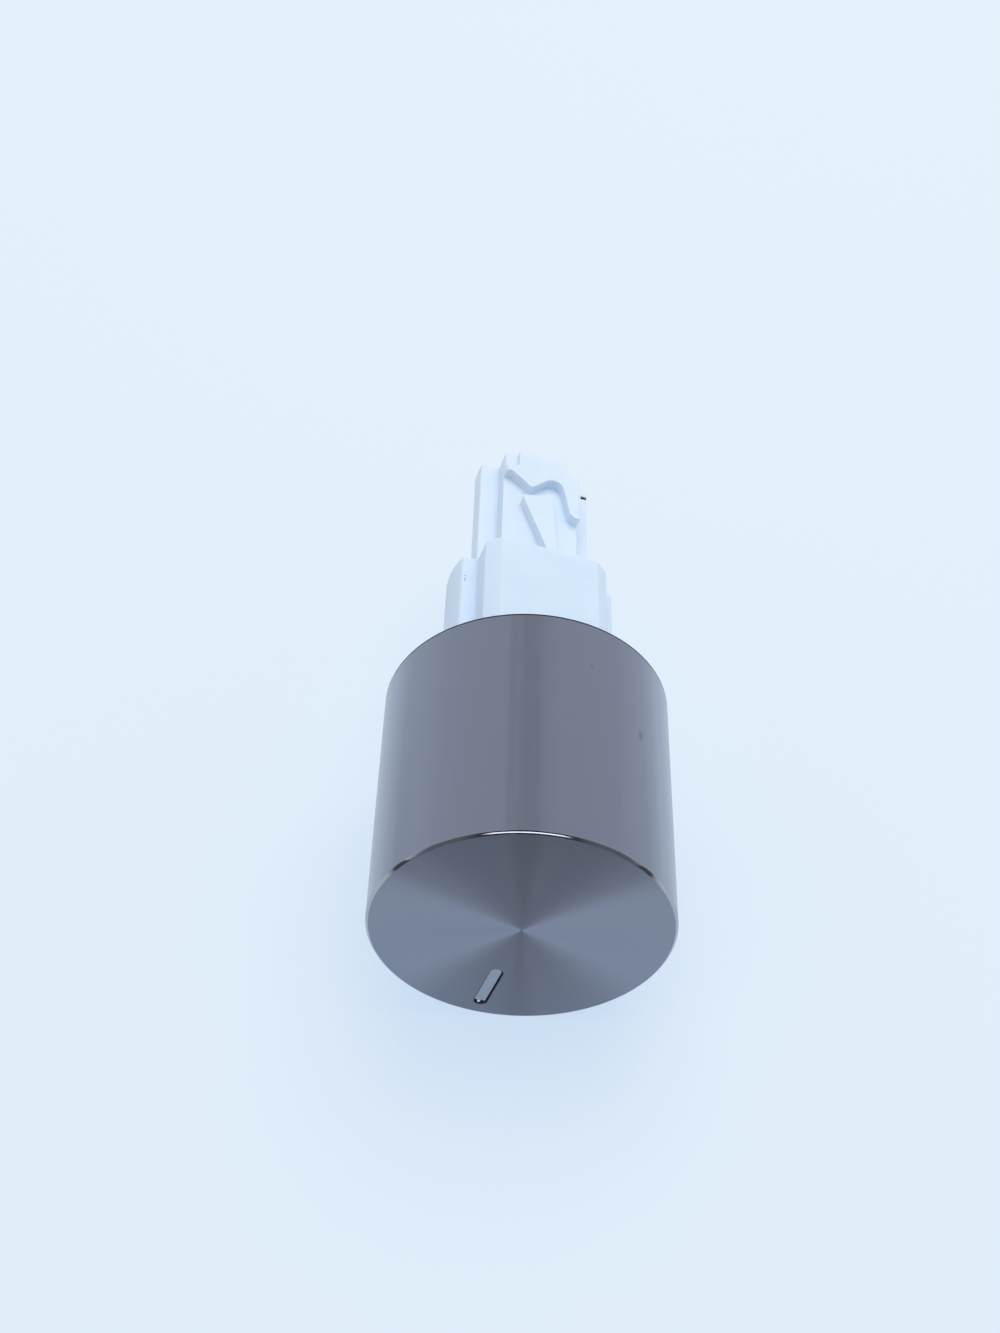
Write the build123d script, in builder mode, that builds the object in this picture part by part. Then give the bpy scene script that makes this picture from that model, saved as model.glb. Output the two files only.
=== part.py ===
import os
from math import asin, atan2, cos, degrees, radians, sin

from build123d import *

# A push-push oven knob: a metal cap on a white guide sleeve, which slides along a cross-shaped cam stem.
# The knob lies along Y with its face towards -Y, and is turned about its axis as it came to rest.
# The origin is on the axis, in the mouth of the spindle socket. Millimetres throughout.

# Reach of the three stages along the axis, with the knob popped out
cap_length = 37.6
sleeve_reach = 24.4
stem_reach = 24.8
roll_angle = 18.0

# Clearances: between the sliding mouldings, at their end stop, where parts seat, and round the wires
slide_gap = 0.25
stop_gap = 0.2
seat_gap = 0.05
wire_gap = 0.06

# Cap shell
cap_radius = 20.0
cap_wall = 1.2
face_thickness = 1.6
face_chamfer = 0.35
rim_chamfer = 0.25

# Pointer, set in a slot in the face
pointer_rim_distance = 2.1
pointer_slot_length = 8.6
pointer_slot_width = 1.9
pointer_slot_depth = 1.0
pointer_width = 1.55
pointer_end_gap = 0.85
pointer_end_radius = 0.765
pointer_side_shift = 0.1
pointer_sink = 0.08

# Cap insert
insert_plate = 2.0
insert_wall = 1.5
insert_recess = 2.0
hub_wall = 1.7
rib_count = 12
rib_thickness = 1.2
rib_recess = 3.0
spring_post_radius = 2.5
spring_post_height = 5.0

# Guide sleeve
sleeve_radius = 12.46
sleeve_wall = 2.01
sleeve_roof = 3.39
sleeve_arm_reach = 3.01
sleeve_arm_half_height = 4.3
sleeve_edge_radius = 0.6
sleeve_end_radius = 0.5
sleeve_mouth_chamfer = 0.4
gate_across = -1.4
gate_run = 7.6
gate_radius = 0.65
gate_depth = 0.15

# Cam stem
stem_engagement = 29.0
block_half_width = 6.0
block_half_height = 6.4
arm_half_height = 1.8
stem_edge_radius = 0.35
lug_height = 1.3
lug_length = 3.0
end_middle_half_width = 4.0
end_step_length = 3.4
left_step_drop = 1.0
right_step_drop = 1.6
end_corner_radius = 0.9
spring_pocket_radius = 4.2
spring_pocket_depth = 20.0

# Cam track: places are given as (across the stem, in from the stem's far end)
track_depth = 1.68
track_mouth = 5.55
first_dead_end = (-5.2, 4.95)
first_dead_end_radius = 0.7
tooth_tip = (-1.9, 7.85)
tooth_radius = 0.4
second_dead_end = (2.77, 3.18)
second_dead_end_radius = 1.6
return_wall_foot = (4.35, 11.6)
return_ramp_foot = (5.05, 12.33)
return_ramp_radius = 0.35
track_start_run = 1.1
island_lead_corner = (-3.4, 10.15)
island_catch = (-1.1, 9.55)
island_release_corner = (1.45, 8.15)
island_tip_across = 2.65
island_tip_run = 2.5
island_corner_radius = 0.35

# Cam follower
follower_wire = 1.4
follower_bend = 1.0
follower_arm = 14.0
follower_end_run = 4.0
follower_floor_gap = 0.2
follower_wall_gap = 0.12
follower_lift = 0.2
first_lane = -5.1
second_lane = 1.75
pivot_depth = 1.2
pocket_gap = 0.3
pocket_flare = 0.5

# Return spring
spring_wire = 0.9
spring_radius = 3.25
spring_coils = 11

# Spindle socket, round at its mouth and D-shaped beyond
socket_radius = 3.05
socket_lead = 6.5
socket_ease = 0.2
socket_depth = 20.0
socket_flat = 1.55

# Spindle clip: a bowed strip in the socket whose outer end hooks over the stem's arm
clip_thickness = 0.5
clip_width = 1.6
clip_depth = 16.0
clip_bow = 1.45
clip_bow_station = 12.0
clip_flare = 0.6
clip_gap = 0.1
clip_hook = 1.5
clip_lip = 0.7
clip_bend = 0.45

# Reaches across the axis that follow from the walls
pointer_slot_radius = cap_radius - pointer_rim_distance - pointer_slot_length / 2
sleeve_block_half_width = sleeve_radius - sleeve_arm_reach
sleeve_flat = block_half_height + slide_gap + sleeve_roof
lug_reach = sleeve_radius - sleeve_wall - slide_gap
arm_half_reach = lug_reach - lug_height

# Stations along the axis
front_y = -(cap_length + sleeve_reach + stem_reach)
cap_back_y = front_y + cap_length
sleeve_end_y = cap_back_y + sleeve_reach
stem_front_y = sleeve_end_y - stem_engagement
insert_front_y = front_y + face_thickness
insert_seat_y = insert_front_y + insert_plate
lug_stop_y = stem_front_y + lug_length + stop_gap
follower_y = sleeve_end_y - follower_end_run
spring_pocket_y = stem_front_y + spring_pocket_depth

# Directions across the knob, turned with it
across = Vector(cos(radians(roll_angle)), 0, -sin(radians(roll_angle)))
upward = Vector(sin(radians(roll_angle)), 0, cos(radians(roll_angle)))


def section_at(y):
    """A plane across the axis, facing the user, whose x and y are the knob's own right and top."""
    return Plane(origin=(0, y, 0), x_dir=across, z_dir=(0, -1, 0))


def layer_at(height):
    """A plane along the axis, facing the knob's own top, whose y runs away from the user."""
    return Plane(origin=upward * height, x_dir=across, z_dir=upward)


def in_from_end(place):
    """A place on the stem's top, from its distance in from the stem's far end."""
    return (place[0], -place[1])


def draw_sleeve_outline(gap=0.0):
    """The sleeve's outside: a round bar with two flats, its corners cut back to leave an arm each side."""
    cut = sleeve_radius
    cut_pitch_x = 2 * (sleeve_block_half_width + gap) + cut
    cut_pitch_y = 2 * (sleeve_arm_half_height + gap) + cut
    Circle(sleeve_radius + gap)
    Rectangle(3 * sleeve_radius, 2 * (sleeve_flat + gap), mode=Mode.INTERSECT)
    with GridLocations(cut_pitch_x, cut_pitch_y, 2, 2):
        Rectangle(cut, cut, mode=Mode.SUBTRACT)


def draw_stem_outline(gap=0.0):
    """The stem's cross: a thick block with a thin arm on each side."""
    Rectangle(2 * (block_half_width + gap), 2 * (block_half_height + gap))
    Rectangle(2 * (arm_half_reach + gap), 2 * (arm_half_height + gap))


# Cap shell: turned from bar, open at the back, with a slot milled in its face for the pointer
with BuildPart() as cap_shell:
    with BuildSketch(Plane.XY) as cap_profile:
        with BuildLine():
            Polyline(
                (0, front_y),
                (cap_radius, front_y),
                (cap_radius, cap_back_y),
                (cap_radius - cap_wall, cap_back_y),
                (cap_radius - cap_wall, insert_front_y),
                (0, insert_front_y),
                close=True,
            )
        make_face()
        chamfer(cap_profile.vertices().group_by(Axis.Y)[0].sort_by(Axis.X)[-1], face_chamfer)
        chamfer(cap_profile.vertices().group_by(Axis.Y)[-1], rim_chamfer)
    revolve(axis=Axis.Y)
    with BuildSketch(section_at(front_y)):
        with Locations((0, -pointer_slot_radius)):
            SlotOverall(pointer_slot_length, pointer_slot_width, rotation=90)
    extrude(amount=-pointer_slot_depth, mode=Mode.SUBTRACT)
cap_shell.part.label = "cap_shell"

# Pointer bar: its inner end follows the slot, and its outer end is square, so the slot's end stays open
pointer_length = pointer_slot_length - pointer_end_gap - seat_gap
pointer_middle = pointer_slot_radius - pointer_end_gap / 2 + seat_gap / 2
with BuildPart() as pointer_bar:
    with BuildSketch(section_at(front_y + pointer_slot_depth)) as pointer_outline:
        with Locations((-pointer_side_shift, -pointer_middle)):
            Rectangle(pointer_width, pointer_length)
        fillet(pointer_outline.vertices().sort_by(Axis.Y)[-2:], pointer_end_radius)
    extrude(amount=pointer_slot_depth - pointer_sink)
pointer_bar.part.label = "pointer_bar"

# Cap insert: a plate behind the face, a ring pressed in the cap, a hub keyed to the sleeve, and ribs
insert_radius = cap_radius - cap_wall - seat_gap
insert_reach = cap_length - face_thickness - insert_plate - insert_recess
hub_radius = sleeve_radius + seat_gap + hub_wall
rib_inner_radius = hub_radius - hub_wall / 2
rib_outer_radius = insert_radius - insert_wall / 2
with BuildPart() as cap_insert:
    with BuildSketch(section_at(insert_front_y)):
        Circle(insert_radius)
    extrude(amount=-insert_plate)
    with BuildSketch(section_at(insert_seat_y)):
        Circle(insert_radius)
        Circle(insert_radius - insert_wall, mode=Mode.SUBTRACT)
        Circle(hub_radius)
    extrude(amount=-insert_reach)
    with BuildSketch(section_at(insert_seat_y)):
        with PolarLocations((rib_inner_radius + rib_outer_radius) / 2, rib_count):
            Rectangle(rib_outer_radius - rib_inner_radius, rib_thickness)
    extrude(amount=-(insert_reach - rib_recess))
    with BuildSketch(section_at(insert_seat_y)) as hub_socket:
        draw_sleeve_outline(seat_gap)
        fillet(hub_socket.vertices(), sleeve_edge_radius)
    extrude(amount=-insert_reach, mode=Mode.SUBTRACT)
    with BuildSketch(section_at(insert_seat_y)):
        Circle(spring_post_radius)
    extrude(amount=-spring_post_height)
cap_insert.part.label = "cap_insert"

# Cam track: its far wall has two dead ends with a tooth between, and its island catches the follower
edge_run = block_half_width + 1
end_corners = (
    (block_half_width, arm_half_height + stem_edge_radius),
    (end_middle_half_width, block_half_height - right_step_drop),
)
track_start = -follower_y + follower_wire / 2 + track_start_run
far_wall = (
    (-edge_run, track_mouth),
    first_dead_end,
    tooth_tip,
    second_dead_end,
    return_wall_foot,
    return_ramp_foot,
    (edge_run, return_ramp_foot[1]),
)
far_wall_radii = (
    first_dead_end_radius,
    tooth_radius,
    second_dead_end_radius,
    return_ramp_radius,
    return_ramp_radius,
)
island_tip = (island_tip_across, -follower_y - island_tip_run)
island_corners = (island_lead_corner, island_catch, island_release_corner, island_tip)

# Spindle clip's course: down the socket's side, across the stem's end, and over the arm's edge
clip_lane = socket_radius + clip_gap + clip_thickness / 2
clip_end = -clip_gap - clip_thickness / 2
clip_edge = arm_half_reach - clip_thickness / 2
clip_tip = clip_edge - clip_lip
clip_groove = clip_thickness + 2 * clip_gap
clip_pocket_width = clip_lane + clip_groove / 2 - clip_bow + clip_gap
clip_inner = clip_bow + clip_thickness / 2

# Cam stem: a moulded cross with the track in its top, and a pocket for the spring in its near end.
# The socket's D is wider than its lead, so the spindle is guided by the lead and driven by the flat.
eased_radius = socket_radius + socket_ease
with BuildPart() as cam_stem:
    with BuildSketch(section_at(0)) as stem_outline:
        draw_stem_outline()
        fillet(stem_outline.vertices(), stem_edge_radius)
    extrude(amount=-stem_front_y)
    with BuildSketch(section_at(stem_front_y + lug_length)):
        Rectangle(2 * lug_reach, 2 * arm_half_height)
    extrude(amount=lug_length)
    with BuildSketch(section_at(-end_step_length)):
        with Locations((-end_middle_half_width, block_half_height)):
            Rectangle(edge_run, 2 * left_step_drop, align=(Align.MAX, Align.CENTER))
        with Locations((end_middle_half_width, block_half_height)):
            Rectangle(edge_run, 2 * right_step_drop, align=(Align.MIN, Align.CENTER))
    extrude(amount=-end_step_length, mode=Mode.SUBTRACT)
    for corner_across, corner_foot in end_corners:
        with BuildSketch(layer_at(corner_foot)):
            with Locations((corner_across, 0)):
                Rectangle(end_corner_radius, end_corner_radius, align=(Align.MAX, Align.MAX))
            with Locations((corner_across - end_corner_radius, -end_corner_radius)):
                Circle(end_corner_radius, mode=Mode.SUBTRACT)
        extrude(amount=block_half_height - corner_foot, mode=Mode.SUBTRACT)
    with BuildSketch(layer_at(block_half_height)):
        with BuildLine():
            track_wall = FilletPolyline(*map(in_from_end, far_wall), radius=far_wall_radii)
            Polyline(
                track_wall @ 1,
                (edge_run, -track_start),
                (-edge_run, -track_start),
                track_wall @ 0,
            )
        make_face()
        with BuildLine():
            FilletPolyline(*map(in_from_end, island_corners), radius=island_corner_radius, close=True)
        make_face(mode=Mode.SUBTRACT)
    extrude(amount=-track_depth, mode=Mode.SUBTRACT)
    with BuildSketch(section_at(stem_front_y)):
        Circle(spring_pocket_radius)
    extrude(amount=-spring_pocket_depth, mode=Mode.SUBTRACT)
    with BuildSketch(section_at(0)):
        Circle(socket_radius)
    extrude(amount=socket_lead, mode=Mode.SUBTRACT)
    with BuildSketch(section_at(-socket_lead)):
        Circle(eased_radius)
        with Locations((socket_flat, 0)):
            Rectangle(eased_radius, 2 * eased_radius, align=(Align.MIN, Align.CENTER), mode=Mode.SUBTRACT)
    extrude(amount=socket_depth - socket_lead, mode=Mode.SUBTRACT)
    with BuildSketch(layer_at(0)):
        with Locations((clip_bow - clip_gap, 0)):
            Rectangle(clip_pocket_width, clip_depth + clip_gap, align=(Align.MIN, Align.MAX))
        with Locations((clip_lane, 0)):
            Rectangle(edge_run, clip_groove, align=(Align.MIN, Align.MAX))
        with Locations((clip_edge - clip_groove / 2, 0)):
            Rectangle(edge_run, clip_hook + clip_groove / 2, align=(Align.MIN, Align.MAX))
        with Locations((clip_tip - clip_gap, -clip_hook)):
            Rectangle(edge_run, clip_groove, align=(Align.MIN, Align.CENTER))
    extrude(amount=clip_width / 2 + clip_gap, both=True, mode=Mode.SUBTRACT)
    with BuildSketch(layer_at(0)):
        with Locations((clip_tip - clip_gap, -clip_hook)):
            Rectangle(edge_run, clip_groove, align=(Align.MIN, Align.CENTER))
    extrude(amount=2 * arm_half_height, mode=Mode.SUBTRACT)
cam_stem.part.label = "cam_stem"

# Guide sleeve: slides along the stem, stands in the insert's hub, and carries the follower in its roof
half_swing = asin((second_lane - first_lane) / 2 / follower_arm)
pivot_across = (first_lane + second_lane) / 2
pivot_y = follower_y - follower_arm * cos(half_swing)
follower_height = block_half_height + follower_lift + follower_wire / 2
pocket_half_width = follower_wire / 2 + pocket_gap
pocket_end_y = pivot_y + follower_arm + pocket_half_width
pocket_floor = block_half_height + slide_gap
pocket_roof = follower_height + pocket_half_width
with BuildPart() as guide_sleeve:
    with BuildSketch(section_at(sleeve_end_y)) as sleeve_outline:
        draw_sleeve_outline()
        fillet(sleeve_outline.vertices(), sleeve_edge_radius)
    extrude(amount=sleeve_end_y - insert_seat_y)
    fillet(guide_sleeve.faces().sort_by(Axis.Y)[-1].edges(), sleeve_end_radius)
    with BuildSketch(section_at(sleeve_end_y)):
        draw_stem_outline(slide_gap)
    extrude(amount=sleeve_end_y - insert_seat_y, mode=Mode.SUBTRACT)
    with BuildSketch(section_at(lug_stop_y)):
        Rectangle(2 * (lug_reach + slide_gap), 2 * (arm_half_height + slide_gap))
    extrude(amount=lug_stop_y - insert_seat_y, mode=Mode.SUBTRACT)
    chamfer(guide_sleeve.faces().sort_by(Axis.Y)[-1].inner_wires()[0].edges(), sleeve_mouth_chamfer)
    with BuildSketch(layer_at(sleeve_flat)):
        with Locations((gate_across, sleeve_end_y - gate_run)):
            Circle(gate_radius)
    extrude(amount=-gate_depth, mode=Mode.SUBTRACT)
    with BuildSketch(layer_at(pocket_floor)):
        with Locations((pivot_across, pivot_y)):
            Circle(pocket_half_width)
        with BuildLine():
            Polyline(
                (pivot_across - pocket_half_width, pivot_y),
                (first_lane - pocket_half_width - pocket_flare, pocket_end_y),
                (second_lane + pocket_half_width + pocket_flare, pocket_end_y),
                (pivot_across + pocket_half_width, pivot_y),
                close=True,
            )
        make_face()
    extrude(amount=pocket_roof - pocket_floor, mode=Mode.SUBTRACT)
    with BuildSketch(layer_at(pocket_roof)):
        with Locations((pivot_across, pivot_y)):
            Circle(follower_wire / 2 + wire_gap)
    extrude(amount=pivot_depth, mode=Mode.SUBTRACT)
guide_sleeve.part.label = "guide_sleeve"

# Cam follower: a wire with one end turned up into the sleeve's roof and the other down into the track
follower_aim = across * -sin(half_swing) + Vector(0, cos(half_swing), 0)
follower_plane = Plane(
    origin=across * pivot_across + Vector(0, pivot_y, 0),
    x_dir=follower_aim,
    z_dir=follower_aim.cross(upward),
)
with BuildPart() as cam_follower:
    with BuildLine(follower_plane) as follower_course:
        FilletPolyline(
            (0, pocket_roof + pivot_depth - wire_gap),
            (0, follower_height),
            (follower_arm, follower_height),
            (follower_arm, block_half_height - track_depth + follower_floor_gap),
            radius=follower_bend,
        )
    with BuildSketch(Plane(origin=follower_course.line @ 0, z_dir=follower_course.line % 0)):
        Circle(follower_wire / 2)
    sweep()
cam_follower.part.label = "cam_follower"

# Return spring: stands on the insert's post and in the stem's pocket
spring_start_y = insert_seat_y + spring_wire / 2 + seat_gap
spring_end_y = spring_pocket_y - spring_wire / 2 - seat_gap
spring_reach = spring_end_y - spring_start_y
with BuildPart() as return_spring:
    with BuildLine() as spring_course:
        Helix(
            pitch=spring_reach / spring_coils,
            height=spring_reach,
            radius=spring_radius,
            center=(0, spring_start_y, 0),
            direction=(0, 1, 0),
        )
    with BuildSketch(Plane(origin=spring_course.line @ 0, z_dir=spring_course.line % 0)):
        Circle(spring_wire / 2)
    sweep(is_frenet=True)
return_spring.part.label = "return_spring"

# Spindle clip: spring-steel strip
with BuildPart() as spindle_clip:
    with BuildSketch(layer_at(0)):
        with BuildLine():
            FilletPolyline(
                (clip_inner + clip_flare, -clip_depth),
                (clip_inner, -clip_bow_station),
                (clip_lane, -socket_lead - clip_bend),
                (clip_lane, clip_end),
                (clip_edge, clip_end),
                (clip_edge, -clip_hook),
                (clip_tip, -clip_hook),
                radius=clip_bend,
            )
        trace(line_width=clip_thickness)
    extrude(amount=clip_width / 2, both=True)
spindle_clip.part.label = "spindle_clip"

# The follower's far stop on the track's first flank sets how far the knob pushes in
flank = atan2(tooth_tip[1] - first_dead_end[1], tooth_tip[0] - first_dead_end[0])
stop_reach = follower_wire / 2 + follower_wall_gap + (first_lane - first_dead_end[0]) * sin(flank)
travel = -(first_dead_end[1] + stop_reach / cos(flank)) - follower_y
print(f"travel {travel:.2f} swing {2 * degrees(half_swing):.2f}")
print(f"pivot {tuple(follower_plane.origin)} axis {tuple(-upward)}")

os.makedirs("parts", exist_ok=True)
export_step(cap_shell.part, "parts/cap_shell.step")
export_step(pointer_bar.part, "parts/pointer_bar.step")
export_step(cap_insert.part, "parts/cap_insert.step")
export_step(guide_sleeve.part, "parts/guide_sleeve.step")
export_step(cam_follower.part, "parts/cam_follower.step")
export_step(return_spring.part, "parts/return_spring.step")
export_step(cam_stem.part, "parts/cam_stem.step")
export_step(spindle_clip.part, "parts/spindle_clip.step")
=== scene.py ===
from math import cos, pi, radians, sin

import bmesh
import bpy
from mathutils import Matrix, Vector


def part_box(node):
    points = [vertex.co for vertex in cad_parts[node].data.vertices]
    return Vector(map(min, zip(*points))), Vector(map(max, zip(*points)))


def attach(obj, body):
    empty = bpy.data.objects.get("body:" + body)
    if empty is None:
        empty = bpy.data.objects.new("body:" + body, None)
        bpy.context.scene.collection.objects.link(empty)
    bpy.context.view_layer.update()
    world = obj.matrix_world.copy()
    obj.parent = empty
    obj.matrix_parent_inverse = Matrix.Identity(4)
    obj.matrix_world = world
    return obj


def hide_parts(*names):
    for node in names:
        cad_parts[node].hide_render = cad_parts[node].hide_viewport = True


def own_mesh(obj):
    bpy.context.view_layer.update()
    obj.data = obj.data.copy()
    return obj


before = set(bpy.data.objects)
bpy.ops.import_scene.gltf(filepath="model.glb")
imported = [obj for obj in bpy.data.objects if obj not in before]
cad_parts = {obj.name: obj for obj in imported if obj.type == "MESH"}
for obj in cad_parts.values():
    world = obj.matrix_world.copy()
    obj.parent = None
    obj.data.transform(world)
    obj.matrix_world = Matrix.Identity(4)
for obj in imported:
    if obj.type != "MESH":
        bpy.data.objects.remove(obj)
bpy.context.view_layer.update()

# Camera: it looks down on the knob from in front, a little to the left of the axis,
# at the distance and angle that the rims of the cap show.
MM = 0.001
CAMERA_PLACE = Vector((-0.644, -223.52, 191.09)) * MM
CAMERA_DOWN = radians(46.1787)
CAMERA_TURN = radians(-1.0268)
CAMERA_TILT = radians(0.5942)
CAMERA_LENS = 49.17
CAMERA_SENSOR = 36
CAMERA_NEAREST = 10 * MM


def link_new(name, content):
    """A new object in the scene, at the origin."""
    made = bpy.data.objects.new(name, content)
    bpy.context.scene.collection.objects.link(made)
    return made


ahead = cos(CAMERA_DOWN)
looking = Vector((sin(CAMERA_TURN) * ahead, cos(CAMERA_TURN) * ahead, -sin(CAMERA_DOWN)))
level = Vector((cos(CAMERA_TURN), -sin(CAMERA_TURN), 0))
upright = level.cross(looking)
camera_right = level * cos(CAMERA_TILT) + upright * sin(CAMERA_TILT)
camera_up = upright * cos(CAMERA_TILT) - level * sin(CAMERA_TILT)
facing = Matrix((camera_right, camera_up, -looking)).transposed()
camera = link_new("camera", bpy.data.cameras.new("camera"))
camera.data.sensor_width = CAMERA_SENSOR
camera.data.lens = CAMERA_LENS
camera.data.clip_start = CAMERA_NEAREST
camera.matrix_world = Matrix.Translation(CAMERA_PLACE) @ facing.to_4x4()
bpy.context.scene.camera = camera
bpy.context.scene.view_settings.view_transform = "Standard"


# Light: a pale room with a broad soft lamp behind on the right. Metal shows the room: bright near its
# horizon, plainer overhead, and dark in front, where a thin strip light runs across the dark.
ROOM_LIGHT = 0.57
WHITE = (1, 1, 1, 1)
HORIZON_COLOUR = (0.80, 0.88, 0.98, 1)
OVERHEAD_COLOUR = (0.68, 0.73, 0.81, 1)
DARK_COLOUR = (0.02, 0.014, 0.025, 1)
DUSK_COLOUR = (0.17, 0.185, 0.21, 1)
STRIP_COLOUR = (2.6, 2.65, 2.7, 1)

# Where each part of the room lies, as parts of a direction of length 1
OVERHEAD_HEIGHTS = (0.20, 0.80)
DARK_FRONT = (0.15, -0.15)
DARK_HEIGHTS = (0.35, 0.95)
DARK_HALF_WIDTHS = (0.88, 0.12)
DARK_SHIFT = 0.03
DARK_SOFTNESS = 0.10
DUSK_EDGES = (0.32, 0.60)
STRIP_AXIS = Vector((0, 0.930, 0.366)).normalized()
STRIP_BOW = -0.4977
STRIP_HALF_DEPTHS = (0.031, 0.020)
STRIP_HALF_WIDTHS = (0.42, 0.30)

LAMP_POWER = 5.2
LAMP_SIZE = 1.0
LAMP_PLACE = Vector((0.12, 0.28, 0.85))


def put(tree, kind, feeds=None, **settings):
    """A node in a tree, with its settings, and its inputs set or linked."""
    made = tree.nodes.new(kind)
    for name, value in settings.items():
        setattr(made, name, value)
    for name, value in (feeds or {}).items():
        if isinstance(value, bpy.types.NodeSocket):
            tree.links.new(value, made.inputs[name])
        else:
            made.inputs[name].default_value = value
    return made


def maths(tree, operation, *values):
    """The outcome of one step of arithmetic in a tree."""
    return put(tree, "ShaderNodeMath", dict(enumerate(values)), operation=operation).outputs[0]


def vector_maths(tree, operation, *values, outcome="Vector"):
    """The outcome of one step of arithmetic on directions or places in a tree."""
    made = put(tree, "ShaderNodeVectorMath", dict(enumerate(values)), operation=operation)
    return made.outputs[outcome]


def split(tree, place):
    """The X, Y and Z of a place or direction in a tree."""
    return put(tree, "ShaderNodeSeparateXYZ", {0: place}).outputs


def ramp(tree, value, low, high, start=0.0, end=1.0):
    """A smooth change from start to end, as a value goes from low to high."""
    feeds = {"Value": value, "From Min": low, "From Max": high, "To Min": start, "To Max": end}
    return put(tree, "ShaderNodeMapRange", feeds, interpolation_type="SMOOTHSTEP").outputs["Result"]


def mixed(tree, share, first, second):
    """One colour turning into another by a share."""
    feeds = {"Factor": share, "A": first, "B": second}
    return put(tree, "ShaderNodeMix", feeds, data_type="RGBA").outputs["Result"]


def seen_share(tree, ray):
    """1 where a ray shows something, to the camera or in a reflection, and 0 where it only carries light."""
    seen = maths(tree, "MAXIMUM", ray["Is Camera Ray"], ray["Is Glossy Ray"])
    return maths(tree, "MAXIMUM", seen, ray["Is Transmission Ray"])


def mixed_shader(tree, share, first, second):
    """One shader turning into another by a share."""
    return put(tree, "ShaderNodeMixShader", {0: share, 1: first.outputs[0], 2: second.outputs[0]}).outputs[0]


room = bpy.data.worlds.new("room")
room.use_nodes = True
bpy.context.scene.world = room
tree = room.node_tree
tree.nodes.clear()
ray = put(tree, "ShaderNodeLightPath").outputs
direction = put(tree, "ShaderNodeTexCoord").outputs["Generated"]
parts = split(tree, direction)
overhead = ramp(tree, parts["Z"], *OVERHEAD_HEIGHTS)
room_shown = mixed(tree, overhead, HORIZON_COLOUR, OVERHEAD_COLOUR)
in_front = ramp(tree, parts["Y"], *DARK_FRONT)
half_width = ramp(tree, parts["Z"], *DARK_HEIGHTS, *DARK_HALF_WIDTHS)
aside = maths(tree, "ABSOLUTE", maths(tree, "SUBTRACT", parts["X"], DARK_SHIFT))
outside = maths(tree, "SUBTRACT", aside, half_width)
dark = maths(tree, "MULTIPLY", in_front, ramp(tree, outside, DARK_SOFTNESS, -DARK_SOFTNESS))
dark_shown = mixed(tree, ramp(tree, aside, *DUSK_EDGES), DARK_COLOUR, DUSK_COLOUR)
room_shown = mixed(tree, dark, room_shown, dark_shown)
bow = vector_maths(tree, "DOT_PRODUCT", direction, STRIP_AXIS, outcome="Value")
off_strip = maths(tree, "ABSOLUTE", maths(tree, "SUBTRACT", bow, STRIP_BOW))
strip = ramp(tree, off_strip, *STRIP_HALF_DEPTHS)
strip = maths(tree, "MULTIPLY", strip, ramp(tree, aside, *STRIP_HALF_WIDTHS))
room_shown = mixed(tree, maths(tree, "MULTIPLY", strip, in_front), room_shown, STRIP_COLOUR)
seen_colour = mixed(tree, ray["Is Glossy Ray"], HORIZON_COLOUR, room_shown)
light = put(tree, "ShaderNodeBackground", {"Color": WHITE, "Strength": ROOM_LIGHT})
backdrop = put(tree, "ShaderNodeBackground", {"Color": seen_colour, "Strength": 1})
both = mixed_shader(tree, seen_share(tree, ray), light, backdrop)
put(tree, "ShaderNodeOutputWorld", {"Surface": both})

lamp = link_new("lamp", bpy.data.lights.new("lamp", "AREA"))
lamp.data.shape = "DISK"
lamp.data.size = LAMP_SIZE
lamp.data.energy = LAMP_POWER
lamp.location = LAMP_PLACE
lamp.rotation_euler = (-LAMP_PLACE).to_track_quat("-Z", "Y").to_euler()
lamp.visible_glossy = False


# Floor: a plain pale board, pressed from white foam, that the knob was laid on. To the camera and in
# reflections it is mostly an even bluish glow, which fills most of the knob's soft shadow, and its lit part
# is tinted warm, so the shadow left looks bluish.
# In reflections only, it turns dark a little in front of the knob: a painted dark reflection, while the
# camera still sees the board there.
FLOOR_SIZE = 6.0
FLOOR_COLOUR = (0.765, 0.87, 0.985, 1)
FLOOR_FILL = 0.74
FILL_COLOUR = (0.684, 0.869, 1.146, 1)
SHADED_COLOUR = (1.0, 0.85, 0.45, 1)
REFLECTED_DARK_EDGES = (-0.17, -0.105)
REFLECTED_DARK_COLOUR = (0.10, 0.10, 0.13, 1)


def new_material(name, **constants):
    """A material with a Principled shader whose plain numbers are set by name."""
    material = bpy.data.materials.new(name)
    material.use_nodes = True
    shader = material.node_tree.nodes["Principled BSDF"]
    for socket, value in constants.items():
        shader.inputs[socket.replace("_", " ").title().replace("Ior", "IOR")].default_value = value
    return material, material.node_tree, shader


def own_place(tree):
    """Where a point lies on its own piece, in a material's tree."""
    return put(tree, "ShaderNodeTexCoord").outputs["Object"]


floor_mesh = bpy.data.meshes.new("floor")
half_floor = FLOOR_SIZE / 2
floor_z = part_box("cap_shell")[0].z
corners = ((-1, -1), (1, -1), (1, 1), (-1, 1))
floor_mesh.from_pydata([(x * half_floor, y * half_floor, floor_z) for x, y in corners], [], [range(4)])
floor = link_new("floor", floor_mesh)
board, tree, shader = new_material("pale_board", roughness=0.9, specular_ior_level=0.1)
ray = put(tree, "ShaderNodeLightPath").outputs
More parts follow.
